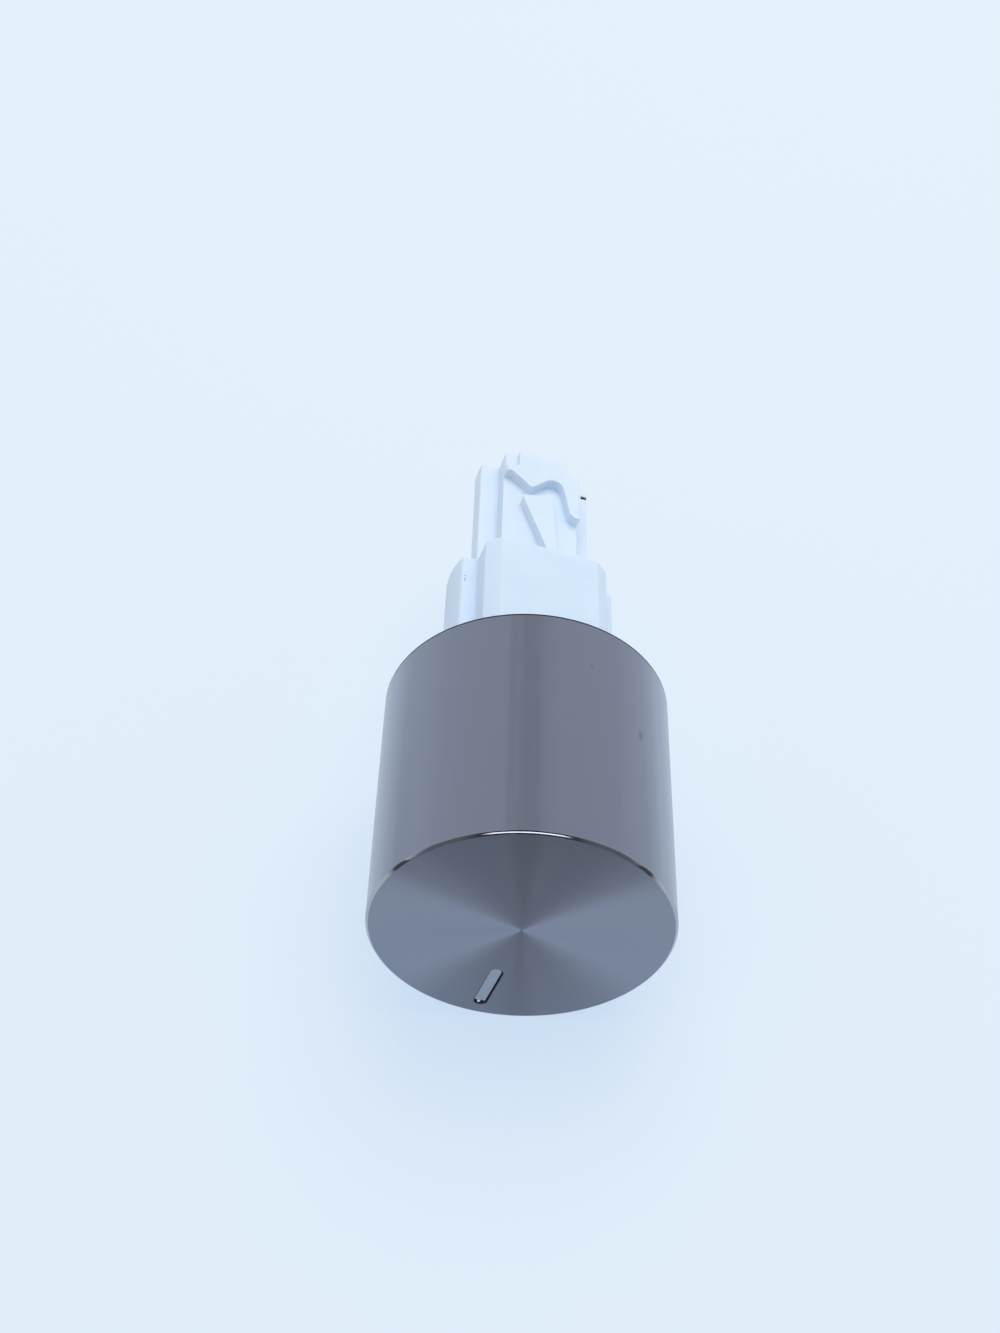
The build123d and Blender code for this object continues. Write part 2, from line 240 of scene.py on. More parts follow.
# Painted dark reflection: reflections see the board turn dark a little in front of the knob, the camera does
# not.
reflected_dark = ramp(tree, split(tree, own_place(tree))["Y"], *REFLECTED_DARK_EDGES, 1.0, 0.0)
reflected_dark = maths(tree, "MULTIPLY", reflected_dark, ray["Is Glossy Ray"])
shown = mixed(tree, reflected_dark, FILL_COLOUR, REFLECTED_DARK_COLOUR)
seen = seen_share(tree, ray)
fill = maths(tree, "MAXIMUM", maths(tree, "MULTIPLY", seen, FLOOR_FILL), reflected_dark)
glow = put(tree, "ShaderNodeEmission", {"Color": shown, "Strength": 1})
tree.links.new(mixed(tree, seen, FLOOR_COLOUR, SHADED_COLOUR), shader.inputs["Base Color"])
both = mixed_shader(tree, fill, shader, glow)
tree.links.new(both, tree.nodes["Material Output"].inputs["Surface"])
floor_mesh.materials.append(board)


# Cap shell: turned from aluminium bar, brushed round its side and spun on its face, then anodised a
# smoky grey, with a clear seal on its side. Its front chamfer is cut bright, and a slot is milled in
# the face. A thin band along its back rim is painted dark, standing in for a dark reflection on the back
# chamfer.
ROLL = radians(18)
KNOB_RIGHT = Vector((cos(ROLL), 0, -sin(ROLL)))
KNOB_TOP = Vector((sin(ROLL), 0, cos(ROLL)))
ALONG = Vector((0, 1, 0))
FACE_Y = -86.8
CAP_RADIUS = 20.0
CAP_LENGTH = 37.6
CAP_BACK_Y = FACE_Y + CAP_LENGTH
CAP_WALL = 1.2
FACE_THICKNESS = 1.6
FACE_CHAMFER = 0.35
BACK_CHAMFER = 0.25
CAP_EDGE = 0.08
INNER_CORNER = 0.1
CENTRE_PIP_RADIUS = 0.22
CENTRE_PIP_DEPTH = 0.07
CENTRE_PIP_EDGE = 0.05
CAP_SEGMENTS = 288
CAP_CREASE = 30
MERGE_DISTANCE = 1e-7
SMALLEST_ROUNDING = 0.001
SLOT_LENGTH = 8.6
SLOT_WIDTH = 1.9
SLOT_DEPTH = 1.0
SLOT_MIDDLE = -13.6
MILL_RUN_IN = 1.0

METAL_COLOUR = (0.405, 0.438, 0.532, 1)
METAL_TONES = (0.92, 1.06)
METAL_ROUGHNESS = (0.46, 0.56)
SIDE_COAT = 0.6
SIDE_COAT_EDGES = ((CAP_RADIUS - 0.06) * MM, (CAP_RADIUS - 0.02) * MM)
BAND_EDGES = ((CAP_RADIUS - 0.05) * MM, (CAP_RADIUS - 0.03) * MM)
DARK_RIM_COLOUR = (0.035, 0.04, 0.052, 1)
DARK_RIM_Y = CAP_BACK_Y - 0.5
DARK_RIM_BLUR = 0.03
SCUFF_COLOUR = (0.10, 0.11, 0.14, 1)
SCUFF_STRENGTH = 0.32
MAIN_SCUFF_PLACE = Vector((15.0, -64.8, 13.23)) * MM
MAIN_SCUFF_SIZE = (0.45, 0.9, 0.6)
FAINT_SCUFF_PLACE = Vector((8.5, -57.2, 18.1)) * MM
FAINT_SCUFF_SIZE = (0.3, 0.6, 0.3)
FAINT_SCUFF_SHARE = 0.6
CUT_COLOUR = (0.45, 0.47, 0.52, 1)
CUT_TONE = 0.9
CUT_ROUGHNESS = (0.05, 0.09)
SLOT_COLOUR = (0.32, 0.42, 0.52, 1)
SLOT_TONE = 0.7
SLOT_ROUGHNESS = (0.4, 0.6)
CUTTER_MARKS_PER_METRE = 3000.0
NOISE_REACH = (0.3, 0.7)
NOISE_MIDDLE = 0.5


def at(right, along, top):
    """A place in metres, from millimetres to the knob's own right, away along it, and to its own top."""
    return (KNOB_RIGHT * right + ALONG * along + KNOB_TOP * top) * MM


def start_group(kind, name, inputs, outputs):
    """A node group with named inputs and outputs."""
    group = bpy.data.node_groups.new(name, kind)
    for label, socket, value in inputs:
        made = group.interface.new_socket(label, in_out="INPUT", socket_type="NodeSocket" + socket)
        if value is not None:
            made.default_value = value
    for label, socket in outputs:
        group.interface.new_socket(label, in_out="OUTPUT", socket_type="NodeSocket" + socket)
    return group, group.nodes.new("NodeGroupInput").outputs, group.nodes.new("NodeGroupOutput").inputs


def flattened(source):
    """The plain mesh that an object's modifiers leave."""
    return bpy.data.meshes.new_from_object(source.evaluated_get(bpy.context.evaluated_depsgraph_get()))


def run_tree(name, group, curve, **values):
    """The plain mesh that a Geometry Nodes tree makes from a curve, with the tree's inputs set by name."""
    source = link_new(name + "_source", curve)
    modifier = source.modifiers.new(name, "NODES")
    modifier.node_group = group
    for item in group.interface.items_tree:
        label = item.name.replace(" ", "_").lower()
        if item.item_type == "SOCKET" and item.in_out == "INPUT" and label in values:
            modifier[item.identifier] = values[label]
    made = flattened(source)
    made.name = name
    bpy.data.objects.remove(source)
    return made


def outline_curve(name, corners):
    """A curve through corners, each a place in metres and the radius in millimetres that rounds it."""
    curve = bpy.data.curves.new(name, "CURVE")
    curve.dimensions = "3D"
    spline = curve.splines.new("POLY")
    spline.points.add(len(corners) - 1)
    for point, (place, rounding) in zip(spline.points, corners):
        point.co = (*place, 1)
        point.radius = max(rounding, SMALLEST_ROUNDING) * MM
    return curve


def rounded_course(tree, given):
    """The tree's outline with each corner rounded by its point's radius."""
    radius = put(tree, "GeometryNodeInputRadius").outputs[0]
    feeds = {"Curve": given["Outline"], "Count": given["Corner steps"], "Radius": radius}
    return put(tree, "GeometryNodeFilletCurve", feeds, mode="POLY").outputs["Curve"]


def finish_tree(tree, geometry, finish, result):
    """Ends a tree: its instances are made real and its material is set."""
    real = put(tree, "GeometryNodeRealizeInstances", {"Geometry": geometry})
    finished = put(tree, "GeometryNodeSetMaterial", {"Geometry": real.outputs[0], "Material": finish})
    tree.links.new(finished.outputs[0], result)


# The tree turns an outline round Y, and merges its seam and poles
turning, given, result = start_group(
    "GeometryNodeTree",
    "turned_piece",
    (
        ("Outline", "Geometry", None),
        ("Segments", "Int", 96),
        ("Corner steps", "Int", 4),
        ("Merge distance", "Float", MERGE_DISTANCE),
        ("Finish", "Material", None),
    ),
    (("Piece", "Geometry"),),
)
course = rounded_course(turning, given)
sized = put(turning, "GeometryNodeAttributeDomainSize", {"Geometry": course}, component="CURVE")
rungs = sized.outputs["Point Count"]
rings = maths(turning, "ADD", given["Segments"], 1.0)
sheet = put(turning, "GeometryNodeMeshGrid", {"Vertices X": rings, "Vertices Y": rungs})
index = put(turning, "GeometryNodeInputIndex").outputs[0]
ring = put(turning, "FunctionNodeIntegerMath", {0: index, 1: rungs}, operation="DIVIDE_FLOOR").outputs[0]
rung = put(turning, "FunctionNodeIntegerMath", {0: index, 1: rungs}, operation="MODULO").outputs[0]
turn = maths(turning, "MULTIPLY", maths(turning, "DIVIDE", ring, given["Segments"]), 2 * pi)
position = put(turning, "GeometryNodeInputPosition").outputs[0]
sampling = {"Geometry": course, "Value": position, "Index": rung}
spot = put(turning, "GeometryNodeSampleIndex", sampling, data_type="FLOAT_VECTOR", domain="POINT")
spinning = {"Vector": spot.outputs["Value"], "Axis": ALONG, "Angle": turn}
turned = put(turning, "ShaderNodeVectorRotate", spinning, rotation_type="AXIS_ANGLE").outputs[0]
wrapping = {"Geometry": sheet.outputs["Mesh"], "Position": turned}
wrapped = put(turning, "GeometryNodeSetPosition", wrapping).outputs[0]
merging = {"Geometry": wrapped, "Distance": given["Merge distance"]}
closed = put(turning, "GeometryNodeMergeByDistance", merging).outputs[0]
finish_tree(turning, closed, given["Finish"], result["Piece"])


def noise(tree, place, scale, detail=2.0, roughness=0.5):
    """A cloudy value at a place in a tree, which lies mostly between 0.3 and 0.7."""
    feeds = {"Vector": place, "Scale": scale, "Detail": detail, "Roughness": roughness}
    return put(tree, "ShaderNodeTexNoise", feeds).outputs["Fac"]


# Spun and brushed lines all run round the axis, so one group draws them on the face and the side.
# It also finds how far a point is from the axis.
lines, given, result = start_group(
    "ShaderNodeTree",
    "turned_lines",
    (
        ("Lines per metre", "Float", 9000.0),
        ("Unevenness", "Float", 0.5),
        ("Wander", "Float", 0.00012),
        ("Depth", "Float", 0.000004),
        ("Bands", "Float", 12.0),
        ("Band depth", "Float", 0.0001),
    ),
    (("Streak", "Float"), ("Reach", "Float"), ("Normal", "Vector")),
)
parts = split(lines, own_place(lines))
flat_place = put(lines, "ShaderNodeCombineXYZ", {"X": parts["X"], "Y": parts["Z"]}).outputs[0]
reach = vector_maths(lines, "LENGTH", flat_place, outcome="Value")
wander = maths(lines, "MULTIPLY", maths(lines, "ARCTAN2", parts["Z"], parts["X"]), given["Wander"])
lane = put(lines, "ShaderNodeCombineXYZ", {"X": reach, "Y": parts["Y"], "Z": wander}).outputs[0]
fine = noise(lines, lane, given["Lines per metre"], detail=3.0, roughness=given["Unevenness"])
bands = noise(lines, vector_maths(lines, "NORMALIZE", flat_place), given["Bands"], detail=0.5)
band_height = maths(lines, "MULTIPLY", bands, given["Band depth"])
band_height = maths(lines, "MULTIPLY", band_height, ramp(lines, reach, *BAND_EDGES))
height = maths(lines, "MULTIPLY_ADD", fine, given["Depth"], band_height)
relief = put(lines, "ShaderNodeBump", {"Height": height, "Distance": 1.0, "Strength": 1.0})
lines.links.new(fine, result["Streak"])
lines.links.new(reach, result["Reach"])
lines.links.new(relief.outputs[0], result["Normal"])

# A small stain or scuff round a place, as large along each axis as its size
marks, given, result = start_group(
    "ShaderNodeTree",
    "small_mark",
    (
        ("Place", "Vector", (0, 0, 0)),
        ("Size", "Vector", (0.001, 0.001, 0.001)),
        ("Raggedness", "Float", 0.6),
        ("Rags per metre", "Float", 2500.0),
        ("Outer edge", "Float", 1.1),
        ("Inner edge", "Float", 0.6),
    ),
    (("Mask", "Float"),),
)
place = own_place(marks)
away = vector_maths(marks, "SUBTRACT", place, given["Place"])
away = vector_maths(marks, "DIVIDE", away, given["Size"])
sizes_away = vector_maths(marks, "LENGTH", away, outcome="Value")
rag = maths(marks, "SUBTRACT", noise(marks, place, given["Rags per metre"]), NOISE_MIDDLE)
sizes_away = maths(marks, "MULTIPLY_ADD", rag, given["Raggedness"], sizes_away)
marks.links.new(ramp(marks, sizes_away, given["Outer edge"], given["Inner edge"]), result["Mask"])


def add_mark(tree, place, size):
    """The mask of a mark, placed in metres with its reach each way in millimetres."""
    mark = put(tree, "ShaderNodeGroup", node_tree=marks)
    mark.inputs["Place"].default_value = place
    mark.inputs["Size"].default_value = Vector(size) * MM
    return mark.outputs["Mask"]


def toned(colour, share):
    """A colour made darker or lighter by a share."""
    return [part * share for part in colour[:3]] + [1]


def spread(tree, share, start, end):
    """An even change from start to end, as a share goes from 0 to 1."""
    feeds = {"Value": share, "To Min": start, "To Max": end}
    return put(tree, "ShaderNodeMapRange", feeds).outputs["Result"]


cap_metal, tree, shader = new_material(
    "cap_metal", metallic=1.0, anisotropic=1.0, anisotropic_rotation=0.25, coat_roughness=0.2
)
brushing = put(tree, "ShaderNodeGroup", node_tree=lines).outputs
tone = mixed(tree, brushing["Streak"], *(toned(METAL_COLOUR, share) for share in METAL_TONES))
main_scuff = add_mark(tree, MAIN_SCUFF_PLACE, MAIN_SCUFF_SIZE)
faint_scuff = add_mark(tree, FAINT_SCUFF_PLACE, FAINT_SCUFF_SIZE)
scuffs = maths(tree, "MAXIMUM", main_scuff, maths(tree, "MULTIPLY", faint_scuff, FAINT_SCUFF_SHARE))
tone = mixed(tree, maths(tree, "MULTIPLY", scuffs, SCUFF_STRENGTH), tone, SCUFF_COLOUR)
along = split(tree, own_place(tree))["Y"]
# Painted dark reflection: the back rim is made near black, standing in for the dark that its back chamfer
# reflects.
painted_dark_rim = ramp(tree, along, (DARK_RIM_Y - DARK_RIM_BLUR) * MM, (DARK_RIM_Y + DARK_RIM_BLUR) * MM)
tree.links.new(mixed(tree, painted_dark_rim, tone, DARK_RIM_COLOUR), shader.inputs["Base Color"])
tree.links.new(spread(tree, brushing["Streak"], *METAL_ROUGHNESS), shader.inputs["Roughness"])
side_coat = ramp(tree, brushing["Reach"], *SIDE_COAT_EDGES, 0.0, SIDE_COAT)
tree.links.new(side_coat, shader.inputs["Coat Weight"])
tree.links.new(brushing["Normal"], shader.inputs["Normal"])
round_axis = put(tree, "ShaderNodeTangent", direction_type="RADIAL", axis="Y")
tree.links.new(round_axis.outputs[0], shader.inputs["Tangent"])

cut_metal, tree, shader = new_material("cut_metal", metallic=1.0)
tool_lines = put(tree, "ShaderNodeGroup", node_tree=lines).outputs["Streak"]
tree.links.new(mixed(tree, tool_lines, toned(CUT_COLOUR, CUT_TONE), CUT_COLOUR), shader.inputs["Base Color"])
tree.links.new(ramp(tree, tool_lines, *NOISE_REACH, *CUT_ROUGHNESS), shader.inputs["Roughness"])

slot_metal, tree, shader = new_material("slot_metal", metallic=1.0)
cutting = noise(tree, own_place(tree), CUTTER_MARKS_PER_METRE)
tree.links.new(mixed(tree, cutting, toned(SLOT_COLOUR, SLOT_TONE), SLOT_COLOUR), shader.inputs["Base Color"])
tree.links.new(ramp(tree, cutting, *NOISE_REACH, *SLOT_ROUGHNESS), shader.inputs["Roughness"])


def on_profile(reach, along):
    """A place on a turned piece's outline, from its distance off the axis."""
    return Vector((reach, along, 0)) * MM


cap_outline = outline_curve(
    "cap_outline",
    (
        (on_profile(0, FACE_Y + CENTRE_PIP_DEPTH), 0),
        (on_profile(CENTRE_PIP_RADIUS, FACE_Y), CENTRE_PIP_EDGE),
        (on_profile(CAP_RADIUS - FACE_CHAMFER, FACE_Y), CAP_EDGE),
        (on_profile(CAP_RADIUS, FACE_Y + FACE_CHAMFER), CAP_EDGE),
        (on_profile(CAP_RADIUS, CAP_BACK_Y - BACK_CHAMFER), CAP_EDGE),
        (on_profile(CAP_RADIUS - BACK_CHAMFER, CAP_BACK_Y), CAP_EDGE),
        (on_profile(CAP_RADIUS - CAP_WALL, CAP_BACK_Y), CAP_EDGE),
        (on_profile(CAP_RADIUS - CAP_WALL, FACE_Y + FACE_THICKNESS), INNER_CORNER),
        (on_profile(0, FACE_Y + FACE_THICKNESS), 0),
    ),
)


def slot_block(name, length, width, middle, from_y, to_y, steps=16):
    """A round-ended block that runs towards the knob's own top, for milling the pointer's slot."""
    arc = [pi * k / steps for k in range(steps + 1)]
    run = (length - width) / 2
    ends = [(width / 2 * cos(a), middle + run + width / 2 * sin(a)) for a in arc]
    ends += [(-width / 2 * cos(a), middle - run - width / 2 * sin(a)) for a in arc]
    block = bmesh.new()
    low = [block.verts.new(at(x, from_y, z)) for x, z in ends]
    high = [block.verts.new(at(x, to_y, z)) for x, z in ends]
    block.faces.new(low)
    block.faces.new(high)
    for k in range(len(ends)):
        block.faces.new((low[k], low[k - 1], high[k - 1], high[k]))
    bmesh.ops.recalc_face_normals(block, faces=block.faces)
    mesh = bpy.data.meshes.new(name)
    block.to_mesh(mesh)
    block.free()
    return mesh


def apply_modifiers(piece):
    """Gives the piece the mesh that its modifiers leave, with none left on it."""
    made = flattened(piece)
    piece.modifiers.clear()
    piece.data = made


def shade(piece, degrees):
    """Smooth shading that stays crisp at edges sharper than an angle, with flat faces kept flat."""
    piece.data.shade_smooth()
    piece.data.set_sharp_from_angle(angle=radians(degrees))
    piece.modifiers.new("flats", "WEIGHTED_NORMAL").keep_sharp = True
    apply_modifiers(piece)


CAP_METALS = (cap_metal, slot_metal, cut_metal)
FLUSH = 0.01


def metal_of(face):
    """The metal that a face of the cap shows, from how far out and how deep behind the front it lies."""
    reach = Vector((face.center.x, face.center.z)).length / MM
    depth = face.center.y / MM - FACE_Y
    if reach > CAP_RADIUS - FACE_CHAMFER and depth < FACE_CHAMFER:
        return cut_metal
    beside_slot = abs(reach - abs(SLOT_MIDDLE)) < SLOT_LENGTH / 2 + FLUSH
    if beside_slot and FLUSH < depth < SLOT_DEPTH + FLUSH:
        return slot_metal
    return cap_metal


cap_mesh = run_tree(
    "cap_turned", turning, cap_outline, segments=CAP_SEGMENTS, corner_steps=4, finish=cap_metal
)
cap = link_new("cap_turned", cap_mesh)
mill_start, mill_end = FACE_Y - MILL_RUN_IN, FACE_Y + SLOT_DEPTH
mill = link_new("mill", slot_block("mill", SLOT_LENGTH, SLOT_WIDTH, SLOT_MIDDLE, mill_start, mill_end))
cut = cap.modifiers.new("slot", "BOOLEAN")
cut.operation = "DIFFERENCE"
cut.solver = "EXACT"
cut.object = mill
apply_modifiers(cap)
shade(cap, CAP_CREASE)
bpy.data.objects.remove(mill)
cap.data.materials.clear()
for metal in CAP_METALS:
    cap.data.materials.append(metal)
for face in cap.data.polygons:
    face.material_index = CAP_METALS.index(metal_of(face))
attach(cap, "grip")
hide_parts("cap_shell")


# Pointer: a bright bar let into the slot, short of the slot's outer end. It is stamped from aluminium strip
# and pressed in.
# A small white drop fills the gap at the slot's end: a painted glint, standing in for a highlight there.
POINTER_COLOUR = (0.34, 0.37, 0.42, 1)
POINTER_TONES = (0.9, 1.1)
POINTER_ROUGHNESS = (0.26, 0.36)
POINTER_GRAIN_PER_METRE = 1800.0
POINTER_EDGE = 0.09
DROP_PLACE = (-0.15, FACE_Y + 0.24, -17.36)
DROP_SIZE = (0.25, 0.23, 0.30)
GLINT_COLOUR = (0.93, 0.97, 1.0, 1)
GLINT_TONE = 0.96
GLINT_GRAIN_PER_METRE = 2500.0
DROP_SIDES = 20
DROP_RINGS = 12
CREASE = 40


def softened_copy(node, name, width, adjust=None, segments=3, softened_from=32, flat_within=0.5):
    """A copy of a moulded or stamped piece, merged and with its edges rounded by a small radius."""
    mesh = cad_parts[node].data.copy()
    mesh.name = name
    mesh.materials.clear()
    loose = bmesh.new()
    loose.from_mesh(mesh)
    bmesh.ops.remove_doubles(loose, verts=loose.verts, dist=MERGE_DISTANCE)
    bmesh.ops.dissolve_limit(loose, angle_limit=radians(flat_within), verts=loose.verts, edges=loose.edges)
    if adjust:
        for vertex in loose.verts:
            right, top = vertex.co.dot(KNOB_RIGHT) / MM, vertex.co.dot(KNOB_TOP) / MM
            vertex.co = at(*adjust(right, vertex.co.y / MM, top))
    loose.to_mesh(mesh)
    loose.free()
    piece = link_new(name, mesh)
    rounding = piece.modifiers.new("edges", "BEVEL")
    rounding.width = width * MM
    rounding.segments = segments
    rounding.limit_method = "ANGLE"
    rounding.angle_limit = radians(softened_from)
    rounding.use_clamp_overlap = True
    apply_modifiers(piece)
    shade(piece, CREASE)
    return piece


pointer_metal, tree, shader = new_material("pointer_metal", metallic=1.0, anisotropic=0.4)
grain = noise(tree, own_place(tree), POINTER_GRAIN_PER_METRE, detail=3.0)
grain_tone = mixed(tree, grain, *(toned(POINTER_COLOUR, share) for share in POINTER_TONES))
tree.links.new(grain_tone, shader.inputs["Base Color"])
tree.links.new(ramp(tree, grain, *NOISE_REACH, *POINTER_ROUGHNESS), shader.inputs["Roughness"])

# Painted glint: the drop is plain bright white, standing in for a highlight at the slot's outer end.
glint_white, tree, shader = new_material("white_lacquer", roughness=0.15)
glint_grain = noise(tree, own_place(tree), GLINT_GRAIN_PER_METRE)
tree.links.new(mixed(tree, glint_grain, GLINT_COLOUR, toned(GLINT_COLOUR, GLINT_TONE)), shader.inputs["Base Color"])


def on_drop(turn, tilt):
    """A place on the drop, from its turn round the knob's own top and its tilt away from it."""
    outward = (sin(tilt) * cos(turn), sin(tilt) * sin(turn), cos(tilt))
    return at(*(place + out * size for place, out, size in zip(DROP_PLACE, outward, DROP_SIZE)))


pointer = softened_copy("pointer_bar", "pointer_pressed", POINTER_EDGE)
drop = bmesh.new()
drop.from_mesh(pointer.data)
turns = [2 * pi * k / DROP_SIDES for k in range(DROP_SIDES)]
tilts = [pi * k / DROP_RINGS for k in range(1, DROP_RINGS)]
head, foot = drop.verts.new(on_drop(0, 0)), drop.verts.new(on_drop(0, pi))
belts = [[drop.verts.new(on_drop(turn, tilt)) for turn in turns] for tilt in tilts]
skin = []
for k in range(DROP_SIDES):
    skin.append(drop.faces.new((head, belts[0][k - 1], belts[0][k])))
    for upper, lower in zip(belts, belts[1:]):
        skin.append(drop.faces.new((upper[k - 1], lower[k - 1], lower[k], upper[k])))
    skin.append(drop.faces.new((foot, belts[-1][k], belts[-1][k - 1])))
for face in skin:
    face.material_index = 1
    face.smooth = True
drop.to_mesh(pointer.data)
drop.free()
pointer.data.materials.append(pointer_metal)
pointer.data.materials.append(glint_white)
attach(pointer, "grip")
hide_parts("pointer_bar")


# Mouldings: the insert, the sleeve and the stem are white acetal, straight from the mould.
# Each has a fine even grain from its steel, slightly rounded edges, and a little grime from handling.
INSERT_COLOUR = (0.69, 0.80, 0.94, 1)
SLEEVE_COLOUR = (0.67, 0.80, 0.975, 1)
STEM_COLOUR = (0.70, 0.82, 0.97, 1)
INSERT_EDGE = 0.12
SLEEVE_EDGE = 0.15
STEM_EDGE = 0.10
CLOUD_TONES = (0.95, 1.03)
MOULDED_ROUGHNESS = (0.36, 0.52)
TRANSLUCENCY = 0.25
SINK_DISTANCE = 0.002
GATE_PLACE = (-1.4, -32.4, 10.04)
GATE_REACH = 0.8
GATE_DEEPEST = 1
GATE_DEPTH_LEFT = 0.15
SPECK_COLOUR = (0.16, 0.17, 0.19, 1)
SPECK_SIZE = (0.10, 0.16, 0.3)
SPECK_PLACES = ((-11.25, -29.15, 4.25), (-11.25, -29.75, 4.25), (-11.25, -30.05, 4.25))


def scaled(tree, colour, by):
    """A colour made darker or lighter by a value in a tree."""
    return put(tree, "ShaderNodeVectorMath", {0: colour, "Scale": by}, operation="SCALE").outputs[0]


moulded, given, result = start_group(
    "ShaderNodeTree",
    "moulded_surface",
    (
        ("Colour", "Color", (0.8, 0.8, 0.8, 1)),
        ("Grain per metre", "Float", 4200.0),
        ("Clouds per metre", "Float", 160.0),
        ("Depth", "Float", 0.000002),
    ),
    (("Colour", "Color"), ("Roughness", "Float"), ("Normal", "Vector")),
)
place = own_place(moulded)
clouds = noise(moulded, place, given["Clouds per metre"], detail=3.0)
grain = maths(moulded, "MULTIPLY", noise(moulded, place, given["Grain per metre"]), given["Depth"])
relief = put(moulded, "ShaderNodeBump", {"Height": grain, "Distance": 1.0})
cloudy = scaled(moulded, given["Colour"], spread(moulded, clouds, *CLOUD_TONES))
moulded.links.new(cloudy, result["Colour"])
moulded.links.new(spread(moulded, clouds, *MOULDED_ROUGHNESS), result["Roughness"])
moulded.links.new(relief.outputs[0], result["Normal"])


def white_plastic(name, colour, specks):
    """White moulded plastic with the shared grain, and dark specks at some places."""
    material, tree, shader = new_material(
        name,
        specular_ior_level=0.35,
        subsurface_weight=TRANSLUCENCY,
        subsurface_scale=SINK_DISTANCE,
        subsurface_radius=(1, 1, 1),
    )
    surface = put(tree, "ShaderNodeGroup", node_tree=moulded)
    surface.inputs["Colour"].default_value = colour
    tone = surface.outputs["Colour"]
    for place in specks:
        tone = mixed(tree, add_mark(tree, at(*place), SPECK_SIZE), tone, SPECK_COLOUR)
    tree.links.new(tone, shader.inputs["Base Color"])
    tree.links.new(surface.outputs["Roughness"], shader.inputs["Roughness"])
    tree.links.new(surface.outputs["Normal"], shader.inputs["Normal"])
    return material


def worn_gate(right, along, top):
    """The gate mark on the sleeve's flat is scraped nearly level, so its floor comes up to the flat."""
    gate_right, gate_along, gate_top = GATE_PLACE
    near_gate = Vector((right - gate_right, along - gate_along)).length < GATE_REACH
    if near_gate and top > gate_top - GATE_DEEPEST:
        top = gate_top - GATE_DEPTH_LEFT * (gate_top - top)
    return right, along, top


def mould(node, name, slot, body, edge, colour, specks=(), adjust=None):
    """One white moulding, in place of its solid."""
    moulding = softened_copy(node, name, edge, adjust)
    moulding.data.materials.append(white_plastic(slot, colour, specks))
    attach(moulding, body)
    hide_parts(node)


mould("cap_insert", "insert_moulding", "insert_plastic", "grip", INSERT_EDGE, INSERT_COLOUR)
mould(
    "guide_sleeve",
    "sleeve_moulding",
    "sleeve_plastic",
    "grip",
    SLEEVE_EDGE,
    SLEEVE_COLOUR,
    specks=SPECK_PLACES,
    adjust=worn_gate,
)
mould("cam_stem", "stem_moulding", "stem_plastic", "stem", STEM_EDGE, STEM_COLOUR)


# Cam follower: a drawn steel wire with both ends bent square, one up into the sleeve's roof and one
# down into the track. It swings in the sleeve's pocket, and its ends are cropped flat.
FOLLOWER_WIRE = 1.4
FOLLOWER_BEND = 1.0
FOLLOWER_ARM = 14.0
FOLLOWER_PIVOT = (-1.675, -42.3746)
FOLLOWER_ASIDE = radians(14.16)
FOLLOWER_TOP = 9.44
FOLLOWER_LEVEL = 7.3
FOLLOWER_FOOT = 4.92
FOLLOWER_OIL = 0.2
STEEL_COLOUR = (0.52, 0.53, 0.55, 1)
STEEL_ROUGHNESS = (0.22, 0.36)
OIL_EDGES = (0.4, 0.75)

bending, given, result = start_group(
    "GeometryNodeTree",
    "bent_wire",
    (
        ("Outline", "Geometry", None),
        ("Corner steps", "Int", 8),
        ("Wire radius", "Float", 0.0005),
        ("Sides", "Int", 24),
        ("Finish", "Material", None),
    ),
    (("Piece", "Geometry"),),
)


def sweep_wire(tree, course, given):
    """A round wire along a course, closed at its ends."""
    even = put(tree, "GeometryNodeSetCurveRadius", {"Curve": course, "Radius": 1.0}).outputs[0]
    sizes = {"Resolution": given["Sides"], "Radius": given["Wire radius"]}
    ring = put(tree, "GeometryNodeCurvePrimitiveCircle", sizes).outputs["Curve"]
    feeds = {"Curve": even, "Profile Curve": ring, "Fill Caps": True}
    return put(tree, "GeometryNodeCurveToMesh", feeds).outputs["Mesh"]


wire = sweep_wire(bending, rounded_course(bending, given), given)
finish_tree(bending, wire, given["Finish"], result["Piece"])

drawn, given, result = start_group(
    "ShaderNodeTree",
    "drawn_steel",
    (
        ("Colour", "Color", (0.5, 0.5, 0.5, 1)),
        ("Scratches per metre", "Float", 2600.0),
        ("Oil", "Float", 0.25),
        ("Oil per metre", "Float", 350.0),
    ),
    (("Colour", "Color"), ("Roughness", "Float")),
)
place = own_place(drawn)
scratches = noise(drawn, place, given["Scratches per metre"], detail=3.0)
film = ramp(drawn, noise(drawn, place, given["Oil per metre"]), *OIL_EDGES)
left_by_oil = maths(drawn, "SUBTRACT", 1.0, maths(drawn, "MULTIPLY", film, given["Oil"]))
drawn.links.new(scaled(drawn, given["Colour"], left_by_oil), result["Colour"])
drawn.links.new(ramp(drawn, scratches, *NOISE_REACH, *STEEL_ROUGHNESS), result["Roughness"])


def steel(name, colour, oil):
    """Steel wire or strip with a thin film of oil on it."""
    material, tree, shader = new_material(name, metallic=1.0)
    surface = put(tree, "ShaderNodeGroup", node_tree=drawn)
    surface.inputs["Colour"].default_value = colour
    surface.inputs["Oil"].default_value = oil
    tree.links.new(surface.outputs["Colour"], shader.inputs["Base Color"])
    tree.links.new(surface.outputs["Roughness"], shader.inputs["Roughness"])
    return material


def on_follower(out, height):
    """A place on the follower, from its distance out from the pivot."""
    pivot_right, pivot_along = FOLLOWER_PIVOT
    return at(pivot_right - out * sin(FOLLOWER_ASIDE), pivot_along + out * cos(FOLLOWER_ASIDE), height)


